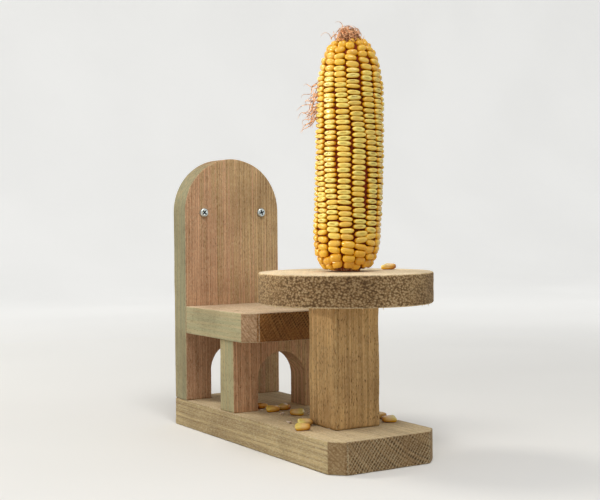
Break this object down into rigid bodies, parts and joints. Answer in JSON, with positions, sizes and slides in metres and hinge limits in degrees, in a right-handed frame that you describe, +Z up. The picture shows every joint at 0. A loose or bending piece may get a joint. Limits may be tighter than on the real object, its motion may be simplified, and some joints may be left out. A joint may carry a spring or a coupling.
{
  "type": "squirrel chair feeder",
  "caption": "Small cedar chair facing a round pedestal table on a shared base; screws to a trunk and holds an ear of corn upright on a spike for a squirrel to sit and eat.",
  "frame": {"origin": "midway between the two trunk screws, on the back board's rear face", "axes": "+X to the right as seen from the front, +Y back into the trunk along the screws, +Z up"},
  "size_m": [0.125, 0.2833, 0.3092],
  "materials": {
    "cedar": "bare rough-sawn and planed cedar",
    "zinc_steel": "bright zinc plate",
    "coated_steel": "dull yellow zinc coating",
    "cob_pith": "dry fibrous cob",
    "corn_kernel": "waxy dried dent kernels",
    "corn_silk": "dried silk fibres"
  },
  "bodies": {
    "feeder": {"base_board": "cedar", "back_board": "cedar", "seat_board": "cedar", "seat_support": "cedar", "table_post": "cedar", "table_top": "cedar", "trunk_screw_left": "zinc_steel", "trunk_screw_right": "zinc_steel", "base_back_screw_left": "coated_steel", "base_back_screw_right": "coated_steel", "base_support_screw_left": "coated_steel", "base_support_screw_right": "coated_steel", "base_post_screw_left": "coated_steel", "base_post_screw_right": "coated_steel", "seat_back_screw_left": "coated_steel", "seat_back_screw_right": "coated_steel", "table_screw_left": "coated_steel", "table_screw_right": "coated_steel", "seat_nail_left": "coated_steel", "seat_nail_right": "coated_steel", "corn_spike": "coated_steel", "spilled_kernels": "corn_kernel"},
    "corn_ear": {"cob_core": "cob_pith", "kernel_rows": "corn_kernel", "silk_tuft": "corn_silk"}
  },
  "joints": [
    {"name": "cob_lift", "type": "slide", "parent": "feeder", "child": "corn_ear", "axis": [0, 0, 1], "range_m": [0, 0.064]}
  ]
}
